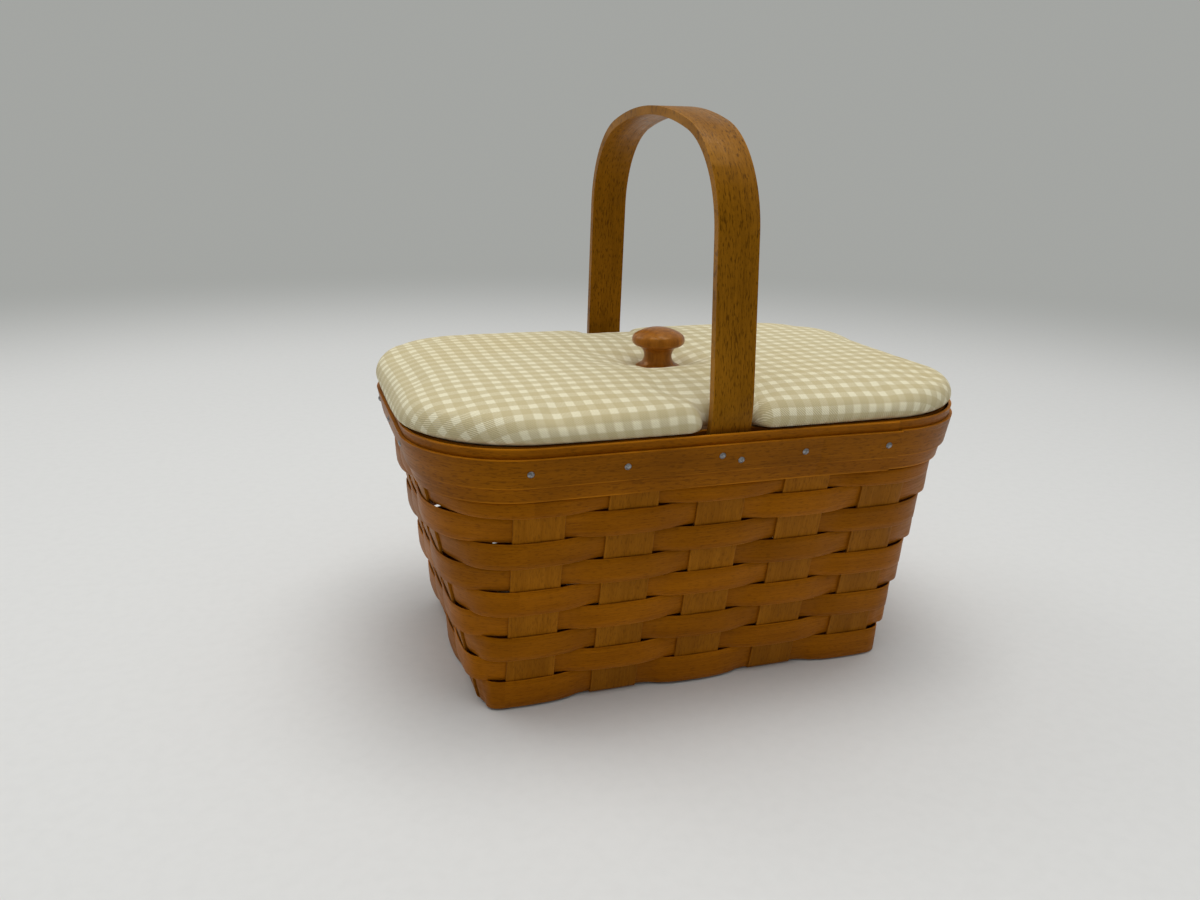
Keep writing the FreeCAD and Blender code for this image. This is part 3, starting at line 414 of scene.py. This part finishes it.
LID_LOW = 0.13575
LID_LONG = 0.1376
LID_WIDE = 0.0925
LID_CREST = LID_LOW + 0.0148
LID_CORNER = 0.055
UNDER_ROLL = 0.0036
TOP_ROLL = 0.0094
CROWN_RUN = 0.045
NOTCH_HALF = 0.0125
NOTCH_DEEP = 0.0099
NOTCH_ROUND = 0.0028
NOTCH_LIP = 0.0065
HOLLOW_DEEP = 0.0066
HOLLOW_FLAT = 0.012
HOLLOW_RUN = 0.0185
PLEATS = 7
PLEAT_AT = 0.022
PLEAT_REACH = 0.014
PLEAT_DEEP = 0.0011
QUARTER = 64


def rounded_run(corners):
    # A fine line through corners (x, y, radius), with each corner turned on its radius.
    line = [Vector(corners[0][:2])]
    for k in range(1, len(corners) - 1):
        here = Vector(corners[k][:2])
        back = (Vector(corners[k - 1][:2]) - here).normalized()
        on = (Vector(corners[k + 1][:2]) - here).normalized()
        radius = corners[k][2]
        for step in range(17):
            turn = math.pi / 2 * step / 16
            line.append(here + back * radius * (1 - math.sin(turn)) + on * radius * (1 - math.cos(turn)))
    line.append(Vector(corners[-1][:2]))
    return line


def even_steps(line, count):
    lengths = [0.0]
    for k in range(1, len(line)):
        lengths.append(lengths[-1] + (line[k] - line[k - 1]).length)
    spots = []
    at = 0
    for step in range(count):
        goal = lengths[-1] * step / count
        while lengths[at + 1] < goal:
            at += 1
        span = lengths[at + 1] - lengths[at]
        share = (goal - lengths[at]) / span if span else 0.0
        spots.append(line[at].lerp(line[at + 1], share))
    return spots


def lid_line(inset, notch):
    # The lid's outline drawn in by inset, from the middle of the front round to it again.
    long = LID_LONG - inset
    wide = LID_WIDE - inset
    deep = NOTCH_DEEP * notch
    half = NOTCH_HALF + inset * 0.6
    inner_turn = min(NOTCH_ROUND, deep * 0.3)
    outer_turn = min(NOTCH_LIP, deep * 0.66)
    front = [
        (0.0, deep - wide, 0.0), (half, deep - wide, inner_turn), (half, -wide, outer_turn),
        (long, -wide, LID_CORNER - inset), (long, 0.0, 0.0),
    ]
    right_front = even_steps(rounded_run(front), QUARTER)
    back = [(x, -y, radius) for x, y, radius in reversed(front)]
    right_back = even_steps(rounded_run(back), QUARTER)
    half_way = right_front + right_back
    return half_way + [Vector((-spot.x, -spot.y)) for spot in half_way]


def hollow(distance):
    # The drop of the pad towards the knob: a flat under its foot, then a round pillow.
    full = (HOLLOW_RUN ** 2 + HOLLOW_DEEP ** 2) / (2 * HOLLOW_DEEP)
    away = HOLLOW_FLAT + HOLLOW_RUN - distance
    if away <= 0:
        return 0.0
    if away >= HOLLOW_RUN:
        return HOLLOW_DEEP
    return full - math.sqrt(full * full - away * away)


def pad_rings():
    rings = []
    for inset in (0.03, 0.012, 0.006):
        rings.append([(spot.x, spot.y, LID_LOW + 0.0003) for spot in lid_line(inset, 1.0)])
    widest = LID_LOW + UNDER_ROLL
    for degrees in (-90, -55, -25, 0):
        turn = math.radians(degrees)
        inset = UNDER_ROLL * (1 - math.cos(turn))
        rings.append([(s.x, s.y, widest + UNDER_ROLL * math.sin(turn)) for s in lid_line(inset, 1.0)])
    for degrees in (18, 36, 54, 70):
        turn = math.radians(degrees)
        inset = TOP_ROLL * (1 - math.cos(turn))
        rings.append([(s.x, s.y, widest + TOP_ROLL * math.sin(turn)) for s in lid_line(inset, 1.0)])
    shoulder = TOP_ROLL * (1 - math.cos(math.radians(70)))
    shoulder_up = widest + TOP_ROLL * math.sin(math.radians(70))
    for share in (0.09, 0.2, 0.33, 0.48, 0.65, 0.82, 1.0):
        inset = shoulder + (CROWN_RUN - shoulder) * share
        up = LID_CREST - (LID_CREST - shoulder_up) * (1 - share) ** 2
        rings.append([(s.x, s.y, up) for s in lid_line(inset, max(1 - share * 1.6, 0.02))])
    inner = lid_line(CROWN_RUN, 0.02)
    count = len(inner)
    for k in range(1, 15):
        share = k / 14
        ring = []
        for place, spot in enumerate(inner):
            turn = 2 * math.pi * place / count - math.pi / 2
            seat = Vector((math.cos(turn), math.sin(turn))) * HOLLOW_FLAT * 0.92
            spot = spot.lerp(seat, share)
            drawn = max(0.0, 1 - abs(spot.length - PLEAT_AT) / PLEAT_REACH)
            pleat = PLEAT_DEEP * drawn * (1 + math.cos(PLEATS * turn + 0.8)) / 2
            ring.append((spot.x, spot.y, LID_CREST - hollow(spot.length) - pleat))
        rings.append(ring)
    seat = rings[-1]
    for share in (0.55, 0.2):
        rings.append([(x * share, y * share, z) for x, y, z in seat])
    return rings


def pad_mesh(name):
    rings = pad_rings()
    count = len(rings[0])
    verts = [place for ring in rings for place in ring]
    faces = []
    for level in range(len(rings) - 1):
        for k in range(count):
            on = (k + 1) % count
            here = level * count
            above = here + count
            faces.append((here + k, here + on, above + on, above + k))
    underside = len(verts)
    verts.append((0.0, 0.0, rings[0][0][2]))
    seat = len(verts)
    verts.append((0.0, 0.0, rings[-1][0][2]))
    last = (len(rings) - 1) * count
    for k in range(count):
        on = (k + 1) % count
        faces.append((underside, on, k))
        faces.append((last + k, last + on, seat))

    # Where each point lies on the cloth before it is folded over the edge.
    crown = len(rings) - 17
    flat = [Vector((x, y)) for x, y, z in verts]
    for k in range(count):
        start = Vector(rings[crown][k])
        way = (Vector(rings[4][k][:2]) - start.xy).normalized()
        run = 0.0
        before = start
        for level in range(crown - 1, -1, -1):
            here = Vector(rings[level][k])
            run += (here - before).length
            flat[level * count + k] = start.xy + way * run
            before = here
    mesh = bpy.data.meshes.new(name)
    mesh.from_pydata(verts, [], faces)
    cloth = mesh.uv_layers.new(name="cloth")
    for loop, corner in zip(mesh.loops, cloth.data):
        corner.uv = flat[loop.vertex_index]
    mesh.polygons.foreach_set("use_smooth", [True] * len(mesh.polygons))
    mesh.update()
    held = list(range(count * 4)) + list(range(last - 2 * count, len(verts)))
    return mesh, held


def gingham(name):
    # Cream and tan threads in even stripes both ways: cream squares, tan squares, and mixed ones
    # between them that show both threads in a fine slant.
    cream = (0.90, 0.84, 0.60)
    tan = (0.62, 0.53, 0.30)
    check = 0.0082
    thread = 0.0006
    finish, tree, surface = new_finish(name)
    cloth = node(tree, "UVMap", {"uv_map": "cloth"}).outputs[0]
    waver = node(tree, "TexNoise", Vector=cloth, Scale=14.0, Detail=1.0)
    drift = node(tree, "VectorMath", {"operation": "SUBTRACT"})
    put(tree, drift.inputs[0], waver.outputs["Color"])
    put(tree, drift.inputs[1], (0.5, 0.5, 0.5))
    moved = node(tree, "VectorMath", {"operation": "MULTIPLY_ADD"})
    put(tree, moved.inputs[0], drift.outputs[0])
    put(tree, moved.inputs[1], (0.003, 0.003, 0.0))
    put(tree, moved.inputs[2], cloth)
    parts = node(tree, "SeparateXYZ", Vector=moved.outputs[0])
    stripes = []
    slant = None
    for axis in (0, 1):
        along = parts.outputs[axis]
        phase = reckon(tree, "FRACT", reckon(tree, "DIVIDE", along, check))
        fold = reckon(tree, "ABSOLUTE", reckon(tree, "SUBTRACT", phase, 0.5))
        stripe = spread(tree, fold, 0.20, 0.25)
        stripes.append(laid_over(tree, stripe, (*cream, 1), (*tan, 1)))
        step = reckon(tree, "DIVIDE", along, thread)
        slant = step if slant is None else reckon(tree, "ADD", slant, step)
    wave = reckon(tree, "SINE", reckon(tree, "MULTIPLY", slant, math.pi))
    upper = spread(tree, wave, -0.5, 0.5)
    colour = laid_over(tree, upper, stripes[0], stripes[1])
    colour = laid_over(tree, 0.45, colour, laid_over(tree, 1.0, stripes[0], stripes[1], "DARKEN"))
    # The low lines of the slant, where the bump sinks, are painted darker: this is painted shade in the
    # grooves between the threads.
    colour = laid_over(tree, spread(tree, wave, -1.0, 0.1, 0.3, 0.0), colour, (0.36, 0.30, 0.17, 1))
    fuzz = node(tree, "TexNoise", Vector=cloth, Scale=2600.0, Detail=2.0).outputs["Fac"]
    colour = laid_over(tree, spread(tree, fuzz, 0.35, 0.7, 0.0, 0.22), colour, (0.30, 0.25, 0.15, 1))
    aged = node(tree, "TexNoise", Vector=cloth, Scale=11.0, Detail=3.0).outputs["Fac"]
    colour = laid_over(tree, spread(tree, aged, 0.5, 0.8, 0.0, 0.3), colour, (0.80, 0.66, 0.36, 1), "MULTIPLY")
    tree.links.new(colour, surface.inputs["Base Color"])
    surface.inputs["Roughness"].default_value = 0.9
    surface.inputs["Specular IOR Level"].default_value = 0.15
    surface.inputs["Sheen Weight"].default_value = 0.12
    height = reckon(tree, "ADD", reckon(tree, "MULTIPLY", wave, 0.3), fuzz)
    bump = node(tree, "Bump", Height=height, Strength=0.6, Distance=0.0002)
    tree.links.new(bump.outputs[0], surface.inputs["Normal"])
    return finish


def swell(pad, held, most):
    # The foam presses out against the cover until the cloth is tight.
    group = pad.vertex_groups.new(name="held")
    group.add(held, 1.0, "REPLACE")
    filling = pad.modifiers.new("filling", "CLOTH")
    filling.settings.vertex_group_mass = "held"
    filling.settings.quality = 4
    filling.settings.mass = 0.2
    filling.settings.tension_stiffness = 25
    filling.settings.compression_stiffness = 25
    filling.settings.shear_stiffness = 10
    filling.settings.bending_stiffness = 1.5
    filling.settings.use_pressure = True
    filling.settings.uniform_pressure_force = 4
    filling.settings.effector_weights.gravity = 0
    filling.collision_settings.use_collision = False
    filling.point_cache.frame_start = 1
    filling.point_cache.frame_end = 14
    scene = bpy.context.scene
    for step in range(1, 15):
        scene.frame_set(step)
    shape = pad.evaluated_get(bpy.context.evaluated_depsgraph_get()).data
    places = [point.co.copy() for point in shape.vertices]
    pad.modifiers.remove(filling)
    scene.frame_set(1)
    for point, place in zip(pad.data.vertices, places):
        step = place - point.co
        far = step.length
        if far > 0:
            point.co += step * (most * math.tanh(far / most) / far)
    pad.data.update()


pad_cloth, pad_held = pad_mesh("lid_pad")
pad_cloth.materials.append(gingham("gingham_cloth"))
lid_pad = bpy.data.objects.new("lid_pad", pad_cloth)
bpy.context.collection.objects.link(lid_pad)
swell(lid_pad, pad_held, 0.002)
smooth = lid_pad.modifiers.new("smooth cloth", "SUBSURF")
smooth.levels = 1
smooth.render_levels = 1
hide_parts("lid_cover", "lid_foam")
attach(lid_pad, "lid")


# The knob is turned from maple, stained redder than the splints and varnished, with a spread foot,
# a waisted neck and a domed head. A screw from under the board holds it.

def varnished_knob(name):
    finish, tree, surface = new_finish(name)
    where = node(tree, "TexCoord").outputs["Object"]
    laid = node(tree, "Mapping", Vector=where, Scale=(380.0, 380.0, 30.0))
    grain = node(tree, "TexNoise", Vector=laid.outputs[0], Scale=1.0, Detail=5.0, Roughness=0.6).outputs["Fac"]
    turned = node(tree, "Mapping", Vector=where, Scale=(60.0, 60.0, 2600.0))
    marks = node(tree, "TexNoise", Vector=turned.outputs[0], Scale=1.0, Detail=1.0).outputs["Fac"]
    pale = (0.44, 0.155, 0.016, 1)
    deep = (0.20, 0.062, 0.005, 1)
    colour = laid_over(tree, spread(tree, grain, 0.3, 0.7), deep, pale)
    tree.links.new(colour, surface.inputs["Base Color"])
    tree.links.new(spread(tree, grain, 0.3, 0.7, 0.36, 0.26), surface.inputs["Roughness"])
    bump = node(tree, "Bump", Height=marks, Strength=0.2, Distance=0.00006)
    tree.links.new(bump.outputs[0], surface.inputs["Normal"])
    surface.inputs["Specular Tint"].default_value = SEALER
    surface.inputs["Coat Weight"].default_value = 0.12
    surface.inputs["Coat Roughness"].default_value = 0.15
    return finish


eased("knob", varnished_knob("knob_maple"), 0.0004)


# The basket stands on a plain pale table that fades into a soft grey distance, under a wide
# overhead light with a weaker one from behind on the left.

BACKDROP = (0.37, 0.378, 0.362)
TABLE = (0.74, 0.74, 0.72)

table_mesh = bpy.data.meshes.new("table")
rim = [(6 * math.cos(2 * math.pi * k / 96), 6 * math.sin(2 * math.pi * k / 96), 0.0) for k in range(96)]
table_mesh.from_pydata(rim, [], [tuple(range(96))])
table = bpy.data.objects.new("table", table_mesh)
bpy.context.collection.objects.link(table)
table_paper, tree, surface = new_finish("table_paper")
where = node(tree, "TexCoord").outputs["Object"]
away = node(tree, "VectorMath", {"operation": "LENGTH"})
put(tree, away.inputs[0], where)
far = node(tree, "MapRange", {"interpolation_type": "SMOOTHSTEP"}, From_Min=0.7, From_Max=1.5)
put(tree, far.inputs["Value"], away.outputs["Value"])
specks = node(tree, "TexNoise", Vector=where, Scale=160.0, Detail=4.0).outputs["Fac"]
paper = laid_over(tree, spread(tree, specks, 0.4, 0.7, 0.0, 0.06), (*TABLE, 1), (0.5, 0.5, 0.48, 1))
tree.links.new(paper, surface.inputs["Base Color"])
surface.inputs["Roughness"].default_value = 0.7
surface.inputs["Specular IOR Level"].default_value = 0.2
distance = node(tree, "Emission", Color=(*BACKDROP, 1), Strength=1.0)
fade = node(tree, "MixShader")
put(tree, fade.inputs[0], far.outputs["Result"])
put(tree, fade.inputs[1], surface.outputs[0])
put(tree, fade.inputs[2], distance.outputs[0])
tree.links.new(fade.outputs[0], tree.nodes["Material Output"].inputs["Surface"])
table_mesh.materials.append(table_paper)

world = bpy.data.worlds.new("studio")
bpy.context.scene.world = world
world.use_nodes = True
tree = world.node_tree
path = node(tree, "LightPath")
seen = reckon(tree, "MAXIMUM", path.outputs["Is Camera Ray"], path.outputs["Is Glossy Ray"])
seen = reckon(tree, "MAXIMUM", seen, path.outputs["Is Transmission Ray"])
height = node(tree, "SeparateXYZ", Vector=node(tree, "TexCoord").outputs["Generated"]).outputs["Z"]
ceiling = laid_over(tree, spread(tree, height, 0.0, 0.8), (0.13, 0.132, 0.134, 1), (0.56, 0.565, 0.57, 1))
sky = laid_over(tree, seen, ceiling, (*BACKDROP, 1))
tree.links.new(sky, tree.nodes["Background"].inputs["Color"])

for name, place, aim, size, watts in (
    ("overhead", (0.05, -0.05, 1.5), (0, 0, 0.1), 1.0, 11.5),
    ("back_left", (-1.0, 0.9, 1.2), (0, 0, 0.12), 0.8, 3.5),
):
    lamp = bpy.data.lights.new(name, "AREA")
    lamp.size = size
    lamp.energy = watts
    stand = bpy.data.objects.new(name, lamp)
    stand.location = place
    stand.rotation_euler = (Vector(aim) - Vector(place)).to_track_quat("-Z", "Y").to_euler()
    bpy.context.collection.objects.link(stand)

bpy.context.scene.view_settings.view_transform = "Standard"


# The camera stands in front of the left half of the basket, a little above the handle's shoulder,
# and looks down across the lid.

YAW = 0.3216
PITCH = 0.3058
ROLL = -0.0201
ahead = Vector((math.sin(YAW) * math.cos(PITCH), math.cos(YAW) * math.cos(PITCH), -math.sin(PITCH)))
level = Vector((math.cos(YAW), -math.sin(YAW), 0.0))
down = ahead.cross(level)
right = level * math.cos(ROLL) + down * math.sin(ROLL)
up = level * math.sin(ROLL) - down * math.cos(ROLL)
camera = bpy.data.objects.new("camera", bpy.data.cameras.new("camera"))
turned = Matrix((right, up, -ahead)).transposed().to_4x4()
camera.matrix_world = Matrix.Translation((-0.18638, -0.46941, 0.25839)) @ turned
camera.data.sensor_width = 36.0
camera.data.sensor_fit = "HORIZONTAL"
camera.data.lens = 36.0 * 1008.1 / 1200.0
camera.data.clip_start = 0.01
bpy.context.collection.objects.link(camera)
bpy.context.scene.camera = camera
